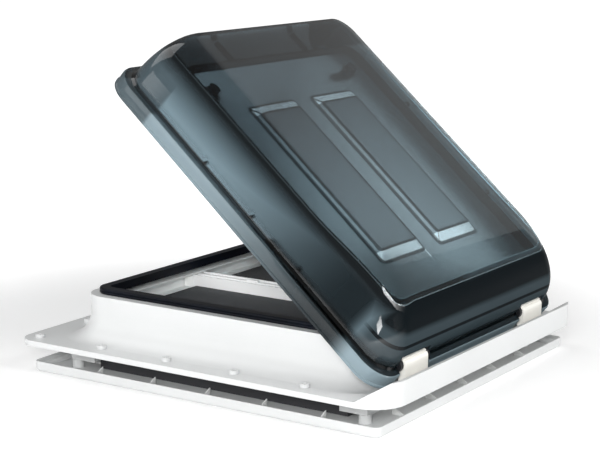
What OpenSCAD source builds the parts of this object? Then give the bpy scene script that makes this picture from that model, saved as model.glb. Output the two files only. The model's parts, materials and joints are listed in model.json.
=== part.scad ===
// Opening roof vent for a caravan: smoked double dome, outer frame, pull blinds and ceiling trim.
// Millimetres. X runs along the hinge, Y from the hinge side to the free side, Z up.
// The origin is the middle of the roof cut-out, on the roof's outer face.

/* [Roof] */
// Side of the square cut-out in the roof
cutout = 400; // [380:2:440]
// Roof thickness clamped between the flange and the ceiling trim
roof_t = 20.5; // [12:0.5:40]

/* [Outer frame] */
// Step in from the cut-out edge to the outer face of the upstand
upstand_inset = 9; // [8:0.5:12]
// Height of the upstand above the roof
upstand_h = 57; // [54:1:62]
// Corner radius of the upstand
upstand_r = 30; // [28:1:36]
// Wall of the upstand
upstand_t = 4; // [3:0.5:5]
// Width of the ledge that carries the seal
ledge_w = 20; // [18:0.5:21]
// Thickness of that ledge
ledge_t = 2.5; // [2:0.25:3]
// Reach of the flange beyond the upstand at the sides
flange_side = 50; // [46:1:60]
// Reach of the flange beyond the upstand at the hinge and free ends
flange_end = 54; // [52:1:62]
// Thickness of the flange
flange_t = 6.5; // [5:0.5:8]
// Flange corner radius on the hinge side
flange_hinge_r = 40; // [36:1:44]
// Flange corner radius on the free side
flange_free_r = 22; // [16:1:30]
// Radius of the cove between flange and upstand
cove_r = 28; // [22:1:30]
// Height of the fascia on the hinge side
fascia_h = 27; // [25:0.5:31]
// Wall of the fascia
fascia_t = 4; // [3:0.5:5]
// Depth of the flat top of the fascia before it slopes down round the corners
fascia_flat = 6; // [5:0.5:10]
// Thickness of the corner legs
leg_t = 11; // [9:0.5:11]
// Length of each arm of a corner leg
leg_l = 34; // [26:1:44]
// Gap from the legs to the edge of the cut-out
leg_fit = 1.5; // [1:0.1:1.5]

/* [Roof screw collars] */
// Screw line in from the edge of the flange
screw_inset = 19; // [17:0.5:20]
// Gaps between screws along one side
screw_gaps = 5; // [4:1:6]
// Outer radius of a screw collar
collar_r = 5.5; // [4.5:0.1:6]
// Height of a screw collar above the flange
collar_h = 4; // [3:0.25:4]
// Radius of the roof screw holes
screw_hole_r = 2.3; // [1.8:0.1:2.8]

/* [Seal] */
// Height of the rubber seal above the ledge
seal_h = 7.4; // [6.5:0.1:8]
// Radius of its two lips
seal_lip_r = 2; // [1.8:0.1:2.2]
// Step in from the upstand's outer face to the seal
seal_inset = 10; // [8:0.5:11]
// Thickness of the skirt that hangs inside the ledge
seal_skirt = 2.5; // [1.5:0.25:3]

/* [Dome] */
// Opening of the dome in this pose, in degrees
open_angle = 41; // [0:1:60]
// Reach of the dome lip beyond the upstand at the sides
lip_side = 29; // [27:1:33]
// Reach of the dome lip beyond the upstand at the hinge end
lip_hinge = 39; // [36:1:40]
// Reach of the dome lip beyond the upstand at the free end
lip_free = 38; // [34:1:44]
// Corner radius of the lip
lip_r = 32; // [30:1:40]
// Height of the upright skirt of the lip
lip_h = 17.5; // [12:0.5:17.5]
// Width of the step from the lip to the dome wall
step_w = 10; // [9:0.5:11]
// Air gap between the flat of the inner pane and the inside of the crown
skin_gap = 32; // [28:0.5:38]
// How far the side walls curve in up to the crown
side_depth = 58; // [50:1:62]
// How far the hinge end curves in up to the crown
hinge_depth = 100; // [90:1:106]
// How far the free end curves in up to the crown
free_depth = 15; // [12:1:30]
// Wall of the dome
shell_t = 3; // [2.5:0.25:3.5]

/* [Inner pane] */
// Thickness of the inner pane
pane_t = 2; // [1.5:0.25:2.5]
// Reach of the pane beyond the edge of the ledge
pane_out = 10; // [8:0.5:11]
// Corner radius of the pane
pane_r = 20; // [16:1:30]
// Height of the pane's upright edge above its flat
edge_h = 10; // [8:0.5:11]
// Width of each raised field
field_w = 93; // [70:1:96]
// Length of each raised field
field_l = 236; // [180:2:250]
// Height of the raised fields
field_h = 5; // [3:0.5:6]
// Bar of flat pane between the two fields
field_gap = 36; // [24:1:44]
// Radius of the spacers between the pane's edge and the dome
spacer_r = 3.5; // [2.5:0.5:4]
// Distance between the side spacers
spacer_pitch = 152; // [100:2:200]
// Distance between the spacers at the free end
free_pitch = 160; // [100:2:200]
// Distance between the spacers at the hinge end
hinge_pitch = 240; // [160:2:280]
// Distance between the clips on the lip step
clip_pitch = 80; // [50:1:110]
// Radius of those clips
clip_r = 2; // [1.5:0.1:2.5]
// Length of those clips
clip_l = 8; // [5:0.5:9]

/* [Hinges] */
// Distance from the middle to each hinge
hinge_x = 145; // [120:1:150]
// Step in from the lip's edge to the hinge axis
hinge_in = 12; // [11:0.5:13]
// Height of the hinge axis above the roof
hinge_z = 32; // [31:0.5:36]
// Length of the hinge barrel
barrel_l = 51; // [40:1:60]
// Radius of the hinge barrel
barrel_r = 9; // [8.5:0.25:9.5]
// Radius of the hinge pin
pin_r = 3; // [2:0.25:3.5]
// Wall of the friction bush round the pin
bush_t = 1.5; // [1:0.25:2]
// Thickness of each ear of the dome leaf
ear_t = 6; // [4:0.5:8]
// Radius of those ears
ear_r = 7.5; // [6.5:0.25:8]
// Thickness of the bracket foot
foot_t = 3.5; // [2.5:0.25:4.5]
// Height of the leaf plate above the notch in the dome
leaf_h = 16; // [12:0.5:16]

/* [Latches] */
// Step in from the ledge's side edge to the latch axis
latch_side = 23; // [21:1:33]
// Step in from the ledge's free edge to the latch axis
latch_in = 22; // [21:0.5:24]
// Radius of the fixed latch hub
hub_r = 4.5; // [4:0.25:5]
// Outer radius of the turning sleeve
sleeve_r = 7.5; // [7:0.25:8.5]
// Reach of the latch tongue from its axis
tongue_l = 28; // [26:0.5:32]
// Reach of the finger lever from its axis
finger_l = 17; // [14:0.5:18]
// Width of tongue and lever
lever_w = 11; // [9:0.5:13]
// Thickness of tongue and lever
lever_t = 3.5; // [3:0.25:4]

/* [Ceiling trim] */
// Overlap of the trim beyond the cut-out
trim_over = 30; // [22:1:40]
// Height of the trim
trim_h = 12; // [9:0.5:14]
// Wall of the trim
trim_wall = 2.5; // [2:0.25:3.5]
// Thickness of its floor
trim_floor = 2.5; // [2:0.25:3]
// Corner radius of the trim
trim_r = 8.5; // [8:0.5:14]
// Radius of its rounded lower edge
trim_edge_r = 4; // [3:0.25:4]
// Distance between the gussets
rib_pitch = 75; // [50:1:90]
// Length of a gusset
rib_l = 10; // [6:0.5:14]
// Thickness of a gusset
rib_t = 1.6; // [1:0.2:2.4]
// Radius of the corner screw bosses
boss_r = 7; // [6:0.25:7.5]

/* [Blinds] */
// Depth of the guide rails
rail_d = 17; // [14:0.5:17]
// Wall of the guide rails
rail_t = 2.5; // [2:0.25:2.5]
// Clear height of the channel
channel_h = 14.5; // [12:0.25:14.5]
// Depth of the blind cassettes
cassette_d = 32.5; // [30:0.5:36]
// Wall of the cassettes
cassette_t = 2; // [1.5:0.25:2.5]
// Thickness of the cassette end caps
cap_t = 2.5; // [2:0.25:4]
// Height of the cloth above the channel floor
cloth_rise = 2.3; // [2:0.1:4]
// Thickness of the cloth
cloth_t = 0.5; // [0.3:0.05:0.8]
// Radius of the roller with its cloth wound on
roll_r = 9.7; // [9:0.1:11]
// Radius of the bare roller tube
tube_r = 8; // [7:0.25:8.5]
// Wall of the roller tube
tube_t = 1.5; // [1:0.25:2]
// Radius of the roller axles
axle_r = 3; // [2:0.25:3.5]
// Length of a roller plug
plug_l = 15; // [10:1:25]
// Length of the winding spring in the roller
spring_l = 140; // [80:5:200]
// Width of each pull bar
bar_w = 12.6; // [10:0.2:16]
// Height of each pull bar
bar_h = 19; // [16:0.5:19]
// Where the two bars meet, from the middle of the opening
bar_meet = 12; // [-40:1:40]
// Place of the bar catch along the bars
catch_y = 85; // [-80:1:90]

/* [Clearances] */
// Radial running clearance of pins, hubs and axles
running_fit = 0.05; // [0.02:0.01:0.1]
// Radial gap of pressed parts
press_fit = 0.02; // [0.01:0.01:0.03]
// Gap between parts that are bonded or slide
slip_fit = 0.3; // [0.2:0.05:0.4]
// Gap between the seal and the shut inner pane
pane_gap = 0.4; // [0.3:0.05:0.6]
// Gap between the latch lever and the ledge
lever_gap = 1; // [0.8:0.1:1.2]
// Gap between the latch levers and the guide rails below them
rail_gap = 1; // [0.8:0.1:1.5]
// Gap between the latch levers and the pull bars below them
bar_gap = 2; // [1.9:0.1:2.5]
// Gap between the blind duct and the upstand
duct_gap = 2.5; // [2:0.25:3]

/* [Hidden] */
$fn = 64;

// Margin by which a cutting shape passes the face that it cuts
past = 1;

// Outer frame
upstand = cutout - 2 * upstand_inset;
upstand_in = upstand - 2 * upstand_t;
opening = upstand - 2 * ledge_w;
flange_w = upstand + 2 * flange_side;
flange_l = upstand + 2 * flange_end;
screw_x = flange_w / 2 - screw_inset;
screw_y = flange_l / 2 - screw_inset;
screw_step_x = 2 * screw_x / screw_gaps;
screw_step_y = 2 * screw_y / screw_gaps;
leg_out = cutout / 2 - leg_fit;
leg_mid = leg_out - leg_t / 2;

// Dome
lip_w = upstand + 2 * lip_side;
lip_low = -upstand / 2 - lip_hinge;
lip_high = upstand / 2 + lip_free;
wall_w = lip_w - 2 * step_w;
wall_r = lip_r - step_w;
hinge_y = lip_low + hinge_in;
step_z = hinge_z;
lip_z = step_z - lip_h;
crown_step = 10;
corner_steps = 6;

// Hinge parts
ear_gap = 0.4;
ear_in = barrel_l / 2 + ear_gap;
ear_out = ear_in + ear_t;
leaf_lift = 0.6;
leaf_neck = 6;
leaf_back = [4, -2];
bush_r = pin_r + running_fit + bush_t;
notch_h = barrel_r + 5;
notch_d = barrel_r + 4;
notch_w = 2 * (ear_out + past);
foot_front = flange_l / 2 - fascia_t - slip_fit;
foot_back = upstand / 2 + cove_r + slip_fit;
bracket_screw_inset = 10;
bracket_screw_x = barrel_l / 2 - bracket_screw_inset;
bracket_screw_y = (foot_front + foot_back + 5) / 2;
bracket_screw_r = 1.9;
bracket_head_r = 3.6;
bracket_head_h = 2.4;

// Inner pane
pane_z = upstand_h + seal_h + pane_gap;
pane_w = opening + 2 * pane_out;
pane_top = pane_z + pane_t;
crown_h = pane_top + skin_gap + shell_t - step_z;
spacer_z = pane_top + edge_h - spacer_r;
spacer_inset = shell_t + 2 * slip_fit;
spacer_lean = asin((spacer_z + spacer_r - step_z) / (crown_h - shell_t));
side_spacer_l = level_w(spacer_inset, spacer_lean) / 2 - pane_w / 2;
free_spacer_l = level_high(spacer_inset, spacer_lean) - pane_w / 2;
hinge_spacer_l = -level_low(spacer_inset, spacer_lean) - pane_w / 2;

// Latches
latch_x = opening / 2 - latch_side;
latch_y = opening / 2 - latch_in;
lever_top = upstand_h - ledge_t - lever_gap;
lever_z = lever_top - lever_t;
lever_floor = 2.8;
base_t = 3;
base_r = hub_r + 4.5;
sleeve_gap = 1;
sleeve_top = pane_z - base_t - sleeve_gap;
knob_r = hub_r + 2.5;
knob_h = 6;
latch_screw_r = 1.5;
latch_screw_l = 10;
latch_head_r = 3;
latch_head_h = 1.4;

// Ceiling trim and blind duct
trim_w = cutout + 2 * trim_over;
trim_bottom = -roof_t - trim_h;
floor_z = trim_bottom + trim_floor;
rib_h = trim_h - trim_floor - past;
rail_out = upstand_in / 2 - duct_gap;
rail_in = rail_out - rail_d;
rail_end = upstand_in / 2 - upstand_r + upstand_t + 10;
channel_top = lever_z - rail_gap - rail_t;
channel_z = channel_top - channel_h;
cassette_top = channel_top;
cassette_in = rail_out - cassette_d;
cloth_z = channel_z + cloth_rise;
roller_x = rail_out - cassette_d / 2;
roller_z = cloth_z - slip_fit - roll_r;
cap_out = rail_in - slip_fit;
cassette_l = 2 * (cap_out - cap_t);
cloth_w = cassette_l - 6;
tube_l = cloth_w - 2;
bar_z = lever_z - bar_gap - bar_h;
bar_end_gap = 0.7;
bar_l = 2 * (rail_in - bar_end_gap);
glide_end_gap = 1.5;
glide_end = rail_out - rail_t - glide_end_gap;
meet_gap = 0.2;
screen_bar_x = bar_meet - meet_gap - bar_w;
blackout_bar_x = bar_meet + meet_gap;
groove_d = 5;
trim_screw_r = 2;
trim_head_r = 4;
trim_head_h = 2.6;
duct_screw_r = 1.5;
duct_head_r = 3.2;
duct_head_h = 1.6;
duct_head_depth = 0.1;
duct_screw_place = 100;
catch_w = 16;
catch_h = 1.7;

// Roof screw centres: both sides, then the free end, then the hinge end between the hinges
side_screws = [for (s = [-1, 1], i = [0 : screw_gaps]) [s * screw_x, i * screw_step_y - screw_y]];
free_screws = [for (i = [1 : screw_gaps - 1]) [i * screw_step_x - screw_x, screw_y]];
hinge_screws = [
  for (i = [1 : screw_gaps - 1])
  let (x = i * screw_step_x - screw_x)
  if (abs(x) < hinge_x - barrel_l / 2 - 2 * collar_r) [x, -screw_y]
];
roof_screws = concat(side_screws, free_screws, hinge_screws);
duct_screw_points = [
  for (s = [-1, 1], e = [-1, 1], across = [0, 1])
  let (middle = (rail_in + rail_out) / 2)
  across == 0 ? [s * duct_screw_place, e * middle] : [s * roller_x, e * duct_screw_place]
];

// Flat rectangle with round corners
module rounded_rect(w, l, r) {
  square([w - 2 * r, l], center = true);
  square([w, l - 2 * r], center = true);
  for (sx = [-1, 1], sy = [-1, 1]) translate([sx * (w / 2 - r), sy * (l / 2 - r)]) circle(r);
}

// A flat profile run round a rounded square; its x is measured outward from the square's edge
module ring_run(w, r) {
  for (turn = [0 : 90 : 270]) rotate(turn) {
    translate([w / 2, w / 2 - r, 0]) rotate([90, 0, 0]) linear_extrude(w - 2 * r) children();
    translate([w / 2 - r, w / 2 - r, 0]) rotate_extrude(angle = 90) translate([r, 0]) children();
  }
}

// A flat Y-Z profile drawn out along X, centred
module along_x(length) {
  translate([-length / 2, 0, 0]) rotate([90, 0, 90]) linear_extrude(length) children();
}

// A flat X-Z profile drawn out along Y, centred
module along_y(length) {
  translate([0, length / 2, 0]) rotate([90, 0, 0]) linear_extrude(length) children();
}

// A cylinder along X, centred
module rod_x(r, length) {
  rotate([0, 90, 0]) cylinder(r = r, h = length, center = true);
}

// A cylinder along Y from one place to another
module rod_y(r, from, to) {
  translate([0, to, 0]) rotate([90, 0, 0]) cylinder(r = r, h = to - from);
}

// A tube along Y, centred
module tube_y(r, bore, length) {
  difference() {
    rod_y(r, -length / 2, length / 2);
    rod_y(bore, -length / 2 - past, length / 2 + past);
  }
}

// Swings a piece that is drawn with the dome shut to the dome's opening angle
module swing() {
  translate([0, hinge_y, hinge_z]) rotate([open_angle, 0, 0]) translate([0, -hinge_y, -hinge_z]) children();
}

// Outline of the flange, drawn in by an inset
module flange_outline(inset) {
  w = flange_w - 2 * inset;
  l = flange_l - 2 * inset;
  rh = flange_hinge_r - inset;
  rf = flange_free_r - inset;
  translate([-w / 2, rh - l / 2]) square([w, l - rh - rf]);
  translate([rh - w / 2, -l / 2]) square([w - 2 * rh, rh + past]);
  translate([rf - w / 2, l / 2 - rf - past]) square([w - 2 * rf, rf + past]);
  for (s = [-1, 1]) {
    translate([s * (w / 2 - rh), rh - l / 2]) circle(rh);
    translate([s * (w / 2 - rf), l / 2 - rf]) circle(rf);
  }
}

// Raised wall along the hinge side, sloping down to the flange round both corners
module fascia() {
  front = -flange_l / 2;
  slope_end = front + flange_hinge_r;
  intersection() {
    linear_extrude(fascia_h) difference() {
      flange_outline(0);
      flange_outline(fascia_t);
    }
    along_x(flange_w + 2 * past) polygon([
      [front - past, 0], [front - past, fascia_h + past], [front + fascia_flat, fascia_h],
      [slope_end, flange_t - past], [slope_end, 0]
    ]);
  }
}

module corner_legs() {
  for (turn = [0 : 90 : 270]) rotate(turn) translate([0, 0, -roof_t]) {
    translate([leg_out - leg_t, leg_out - leg_l, 0]) cube([leg_t, leg_l, roof_t + past]);
    translate([leg_out - leg_l, leg_out - leg_t, 0]) cube([leg_l, leg_t, roof_t + past]);
  }
}

module outer_frame() color("white") difference() {
  union() {
    linear_extrude(flange_t) flange_outline(0);
    linear_extrude(upstand_h) rounded_rect(upstand, upstand, upstand_r);
    ring_run(upstand, upstand_r) difference() {
      translate([-past, flange_t - past]) square([cove_r + past, cove_r + past]);
      translate([cove_r, flange_t + cove_r]) circle(cove_r);
    }
    fascia();
    corner_legs();
    for (p = roof_screws) translate(p) cylinder(r = collar_r, h = flange_t + collar_h);
  }
  translate([0, 0, -past]) linear_extrude(upstand_h - ledge_t + past)
    rounded_rect(upstand_in, upstand_in, upstand_r - upstand_t);
  linear_extrude(upstand_h + past) rounded_rect(opening, opening, upstand_r - ledge_w);
  for (p = roof_screws) translate([p.x, p.y, -past]) cylinder(r = screw_hole_r, h = fascia_h);
  for (s = [-1, 1], e = [-1, 1])
    translate([s * leg_mid, e * leg_mid, -roof_t - past]) cylinder(r = trim_screw_r, h = roof_t);
  for (s = [-1, 1], e = [-1, 1])
    translate([s * hinge_x + e * bracket_screw_x, -bracket_screw_y, past])
      cylinder(r = bracket_screw_r + press_fit, h = flange_t);
}

// Seal with two outer lips; its skirt hangs inside the edge of the ledge
module frame_seal() color("#15161a") translate([0, 0, upstand_h])
  ring_run(upstand - 2 * seal_inset, upstand_r - seal_inset) {
    seal_w = ledge_w - seal_inset + press_fit + seal_skirt;
    translate([-seal_w, 0]) square([seal_w - seal_lip_r, seal_h]);
    translate([-seal_w, -ledge_t]) square([seal_skirt, ledge_t + past]);
    for (lip_at = [seal_lip_r, seal_h - seal_lip_r]) translate([-seal_lip_r, lip_at]) circle(seal_lip_r);
  }

// Barrel on a foot behind the fascia, with two long grooves on its outer face
module hinge_bracket(side) color("#efeadd") translate([side * hinge_x, hinge_y, hinge_z]) difference() {
  web_y = -foot_back - hinge_y;
  foot_y = -foot_front - hinge_y;
  foot_z = flange_t - hinge_z;
  union() {
    rod_x(barrel_r, barrel_l);
    translate([-barrel_l / 2, -barrel_r, foot_z]) cube([barrel_l, web_y + barrel_r, -foot_z]);
    translate([-barrel_l / 2, foot_y, foot_z]) cube([barrel_l, web_y - foot_y, foot_t]);
  }
  rod_x(bush_r + press_fit, barrel_l + 2 * past);
  for (lean = [20, 52]) rotate([lean, 0, 0]) translate([-barrel_l / 2 - past, -0.6, barrel_r - 0.9])
    cube([barrel_l + 2 * past, 1.2, 2]);
  for (e = [-1, 1]) translate([e * bracket_screw_x, -bracket_screw_y - hinge_y, foot_z - past])
    cylinder(r = bracket_screw_r + press_fit, h = foot_t + 2 * past);
}

module hinge_bush(side) color("#6b6f73") translate([side * hinge_x, hinge_y, hinge_z]) difference() {
  rod_x(bush_r, barrel_l);
  rod_x(pin_r + running_fit, barrel_l + 2 * past);
}

module bracket_screws() color("silver") for (s = [-1, 1], e = [-1, 1])
  translate([s * hinge_x + e * bracket_screw_x, -bracket_screw_y, 0]) {
    translate([0, 0, 2 * past]) cylinder(r = bracket_screw_r, h = flange_t + foot_t - 2 * past);
    translate([0, 0, flange_t + foot_t]) cylinder(r = bracket_head_r, h = bracket_head_h);
  }

// Shallow tray with gussets and corner bosses
module ceiling_trim() color("white") difference() {
  union() {
    ring_run(trim_w, trim_r) {
      translate([-trim_wall, trim_bottom + trim_edge_r]) square([trim_wall, trim_h - trim_edge_r]);
      translate([-trim_edge_r, trim_bottom + trim_edge_r]) circle(trim_edge_r);
    }
    translate([0, 0, trim_bottom]) linear_extrude(trim_floor)
      rounded_rect(trim_w - 2 * trim_edge_r, trim_w - 2 * trim_edge_r, trim_r - trim_edge_r);
    for (turn = [0 : 90 : 270], i = [-2 : 2]) rotate(turn)
      translate([trim_w / 2 - trim_wall, i * rib_pitch, floor_z])
        rotate([90, 0, 0]) linear_extrude(rib_t, center = true)
          polygon([[past, -past], [past, rib_h], [0, rib_h], [-rib_l, -past]]);
    for (s = [-1, 1], e = [-1, 1])
      translate([s * leg_mid, e * leg_mid, trim_bottom]) cylinder(r = boss_r, h = trim_h);
  }
  translate([0, 0, trim_bottom]) cube([2 * cassette_in, 2 * rail_in, 4 * trim_floor], center = true);
  for (s = [-1, 1], e = [-1, 1]) translate([s * leg_mid, e * leg_mid, trim_bottom - past]) {
    cylinder(r = trim_screw_r + slip_fit, h = trim_h + 2 * past);
    cylinder(r = trim_head_r + slip_fit, h = trim_head_h + 2 * past);
  }
  for (p = duct_screw_points) translate([p.x, p.y, trim_bottom]) duct_screw_hole();
}

module duct_screw_hole() {
  cylinder(r = duct_screw_r + press_fit, h = 2 * trim_floor);
  translate([0, 0, -past]) cylinder(r = duct_head_r + slip_fit, h = past + duct_head_depth);
  translate([0, 0, duct_head_depth])
    cylinder(r1 = duct_head_r + slip_fit, r2 = duct_screw_r + slip_fit, h = duct_head_h);
}

module trim_screws() color("silver") for (s = [-1, 1], e = [-1, 1])
  translate([s * leg_mid, e * leg_mid, trim_bottom + past]) {
    cylinder(r = trim_head_r, h = trim_head_h);
    cylinder(r = trim_screw_r - press_fit, h = trim_h + roof_t - 3 * past);
  }

module trim_screw_caps() color("white") for (s = [-1, 1], e = [-1, 1])
  translate([s * leg_mid, e * leg_mid, trim_bottom + 0.1]) cylinder(r = trim_head_r + 0.2, h = past - 0.1);

// Rail standing on the trim floor, with a channel for the ends of the pull bars
module guide_rail() difference() {
  along_x(2 * rail_end) {
    translate([rail_out - rail_t, floor_z]) square([rail_t, channel_z + channel_h + rail_t - floor_z]);
    translate([rail_in, floor_z]) square([rail_d, rail_t]);
    translate([rail_in, floor_z]) square([rail_t, channel_z - floor_z]);
    translate([rail_in, channel_z - rail_t]) square([rail_d, rail_t]);
    translate([rail_in + rail_t, channel_z + channel_h]) square([rail_d - rail_t, rail_t]);
  }
  for (s = [-1, 1]) translate([s * duct_screw_place, (rail_in + rail_out) / 2, floor_z - past])
    cylinder(r = duct_screw_r + press_fit, h = rail_t + 2 * past);
}

module guide_rail_free_side() color("#e8e9e6") guide_rail();

module guide_rail_hinge_side() color("#e8e9e6") rotate(180) guide_rail();

// Tall box along one side of the duct, with a slot for the cloth
module cassette() difference() {
  along_y(cassette_l) difference() {
    translate([cassette_in, floor_z]) square([cassette_d, cassette_top - floor_z]);
    translate([cassette_in + cassette_t, floor_z + cassette_t])
      square([cassette_d - 2 * cassette_t, cassette_top - floor_z - 2 * cassette_t]);
    translate([cassette_in - past, cloth_z - 2]) square([cassette_t + 2 * past, cloth_t + 4]);
  }
  for (e = [-1, 1]) translate([roller_x, e * duct_screw_place, floor_z - past])
    cylinder(r = duct_screw_r + press_fit, h = cassette_t + 2 * past);
}

module screen_cassette() color("#1c1d20") rotate(180) cassette();

module blackout_cassette() color("#1c1d20") cassette();

module cassette_end_caps() color("#1c1d20") for (s = [0, 180], e = [-1, 1]) rotate(s) difference() {
  translate([cassette_in, e * (cap_out - cap_t / 2) - cap_t / 2, floor_z])
    cube([cassette_d, cap_t, cassette_top - floor_z]);
  translate([roller_x, e * cap_out, roller_z]) rod_y(axle_r + press_fit, -2 * cap_t, 2 * cap_t);
}

module roller_axles() color("silver") for (s = [0, 180], e = [0, 180])
  rotate(s) translate([roller_x, 0, roller_z]) rotate(e) rod_y(axle_r, tube_l / 2 - plug_l, cap_out);

module duct_screws() color("silver") for (p = duct_screw_points)
  translate([p.x, p.y, trim_bottom + duct_head_depth]) {
    cylinder(r = duct_screw_r, h = trim_floor + cassette_t);
    cylinder(r1 = duct_head_r, r2 = duct_screw_r, h = duct_head_h);
  }

module cloth(from, to) {
  translate([from, -cloth_w / 2, cloth_z]) cube([to - from, cloth_w, cloth_t]);
}

module screen_cloth() color("#4a4d52") cloth(-roller_x, screen_bar_x - meet_gap);

module blackout_cloth() color("#3b3e43") cloth(blackout_bar_x + bar_w + meet_gap, roller_x);

// U-shaped bar right across the opening
module pull_bar(x) color("white") along_y(bar_l) difference() {
  translate([x, bar_z]) square([bar_w, bar_h]);
  translate([x + bar_w / 4, bar_z + bar_h - groove_d]) square([bar_w / 2, groove_d + past]);
}

module screen_pull_bar() pull_bar(screen_bar_x);

module blackout_pull_bar() pull_bar(blackout_bar_x);

module bar_glides(x) color("#d8d9d6") for (turn = [0, 180]) rotate(turn) {
  left = turn == 0 ? x : -x - bar_w;
  translate([left + 0.5, bar_l / 2, channel_z + slip_fit])
    cube([bar_w - 1, glide_end - bar_l / 2, channel_h - 2 * slip_fit]);
}

module screen_bar_glides() bar_glides(screen_bar_x);

module blackout_bar_glides() bar_glides(blackout_bar_x);

// Clip on the screen bar that reaches over the blackout bar
module bar_catch() color("#dcddd9") translate([bar_meet, catch_y, bar_z + bar_h]) {
  translate([-meet_gap - bar_w / 4, -catch_w / 2, 0]) cube([bar_w / 4, catch_w, catch_h]);
  translate([-past, -catch_w / 3, slip_fit]) cube([bar_w / 4 + past, 2 * catch_w / 3, catch_h - slip_fit]);
}

// Ring of points round a rounded rectangle between two Y values
function ring(w, low, high, r, z) = [
  for (corner = [0 : 3], i = [0 : corner_steps])
  let (turn = 90 * corner + 90 * i / corner_steps)
  let (cx = (corner == 0 || corner == 3 ? 1 : -1) * (w / 2 - r))
  let (cy = corner < 2 ? high - r : low + r)
  [cx + r * cos(turn), cy + r * sin(turn), z]
];

function lip_ring(inset, z) =
  ring(lip_w - 2 * inset, lip_low + inset, lip_high - inset, lip_r - inset, z);

// Extent of one level of the dome wall: width, hinge end and free end along a quarter ellipse
function level_w(inset, lean) = wall_w - 2 * inset - 2 * side_depth * (1 - cos(lean));
function level_low(inset, lean) = lip_low + step_w + inset + hinge_depth * (1 - cos(lean));
function level_high(inset, lean) = lip_high - step_w - inset - free_depth * (1 - cos(lean));
function wall_ring(inset, lean, z) =
  ring(level_w(inset, lean), level_low(inset, lean), level_high(inset, lean), wall_r - inset, z);

// Dome skin: rings from the crown down the outside, round the lip and up the inside
module dome_skin() {
  outside = [for (lean = [90 : -crown_step : 0]) wall_ring(0, lean, step_z + crown_h * sin(lean))];
  edge = [
    lip_ring(0, step_z), lip_ring(0, lip_z), lip_ring(shell_t, lip_z), lip_ring(shell_t, step_z - shell_t),
    wall_ring(shell_t, 0, step_z - shell_t)
  ];
  inside = [
    for (lean = [0 : crown_step : 90]) wall_ring(shell_t, lean, step_z + (crown_h - shell_t) * sin(lean))
  ];
  rings = concat(outside, edge, inside);
  count = len(rings[0]);
  last = len(rings) - 1;
  sides = [
    for (k = [0 : last - 1], i = [0 : count - 1])
    let (j = (i + 1) % count)
    let (a = k * count + i, b = k * count + j, c = a + count, d = b + count)
    each [[a, b, d], [a, d, c]]
  ];
  crown = [for (i = [count - 1 : -1 : 0]) i];
  ceiling = [for (i = [0 : count - 1]) last * count + i];
  polyhedron([for (level = rings) each level], concat([crown, ceiling], sides));
}

module dome_shell() color("#46525a") swing() difference() {
  dome_skin();
  for (s = [-1, 1]) translate([s * hinge_x - notch_w / 2, lip_low - past, lip_z - past])
    cube([notch_w, hinge_in + notch_d + past, lip_h + notch_h + past]);
}

// Flat tray skin: a plate with an upright wall down from its edge
module raised_skin(w, l, r, top, drop) translate([0, 0, top - drop]) difference() {
  linear_extrude(drop) rounded_rect(w, l, r);
  translate([0, 0, -past]) linear_extrude(drop - pane_t + past)
    rounded_rect(w - 2 * pane_t, l - 2 * pane_t, r - pane_t);
}

// Shallow tray with an upright edge, two raised fields and holes for the latch hubs
module inner_pane() color("#5c666c") swing() {
  field_x = (field_gap + field_w) / 2;
  difference() {
    translate([0, 0, pane_z]) linear_extrude(pane_t + edge_h) rounded_rect(pane_w, pane_w, pane_r);
    translate([0, 0, pane_top]) linear_extrude(edge_h + past)
      rounded_rect(pane_w - 2 * pane_t, pane_w - 2 * pane_t, pane_r - pane_t);
    for (s = [-1, 1]) translate([s * field_x, 0, pane_z - past]) linear_extrude(pane_t + 2 * past)
      rounded_rect(field_w - 2 * pane_t, field_l - 2 * pane_t, 2 * pane_t);
    for (s = [-1, 1]) translate([s * latch_x, latch_y, pane_z - past])
      cylinder(r = hub_r + slip_fit, h = pane_t + 2 * past);
  }
  for (s = [-1, 1]) translate([s * field_x, 0, 0])
    raised_skin(field_w, field_l, 3 * pane_t, pane_top + field_h, field_h + pane_t);
}

// Studs from the pane's upright edge to the inside of the dome, at the sides and both ends
module pane_spacers() color("#15161a") swing() for (s = [-1, 1]) translate([0, 0, spacer_z]) {
  for (e = [-1, 1]) translate([s * (pane_w + side_spacer_l) / 2, e * spacer_pitch / 2, 0])
    rod_x(spacer_r, side_spacer_l);
  translate([s * free_pitch / 2, 0, 0]) rod_y(spacer_r, pane_w / 2, pane_w / 2 + free_spacer_l);
  translate([s * hinge_pitch / 2, 0, 0]) rod_y(spacer_r, -pane_w / 2 - hinge_spacer_l, -pane_w / 2);
}

module lip_clips() color("#15161a") swing() for (s = [0, 180], i = [-1 : 1])
  rotate(s) translate([wall_w / 2 - shell_t - clip_l - slip_fit, i * clip_pitch, step_z + clip_r])
    rotate([0, 90, 0]) cylinder(r = clip_r, h = clip_l);

// Two ears on the pin, joined by a plate that lies against the inside of the dome's hinge end
module hinge_leaf(side) color("#1c1d20") swing() translate([side * hinge_x, hinge_y, hinge_z]) {
  foot = wall_foot(notch_h + leaf_lift);
  neck = wall_foot(notch_h + leaf_neck);
  head = wall_foot(notch_h + leaf_h);
  difference() {
    union() {
      for (e = [-1, 1]) translate([e * (ear_in + ear_t / 2), 0, 0]) {
        rod_x(ear_r, ear_t);
        along_x(ear_t) polygon([
          [0, ear_r], foot + [-1.6, -2], foot, neck, neck + leaf_back, [ear_r, 0], [0, 0]
        ]);
      }
      along_x(2 * (ear_in + past)) polygon([foot, head, head + leaf_back, foot + leaf_back]);
    }
    rod_x(pin_r + press_fit, 2 * ear_out + 2 * past);
  }
}

// Point on the inside of the hinge end wall at a height above the hinge axis, kept clear of the wall
function wall_foot(h) =
  let (lean = asin(h / (crown_h - shell_t)))
  [step_w - hinge_in + shell_t + 3 * slip_fit + hinge_depth * (1 - cos(lean)), h];

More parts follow.
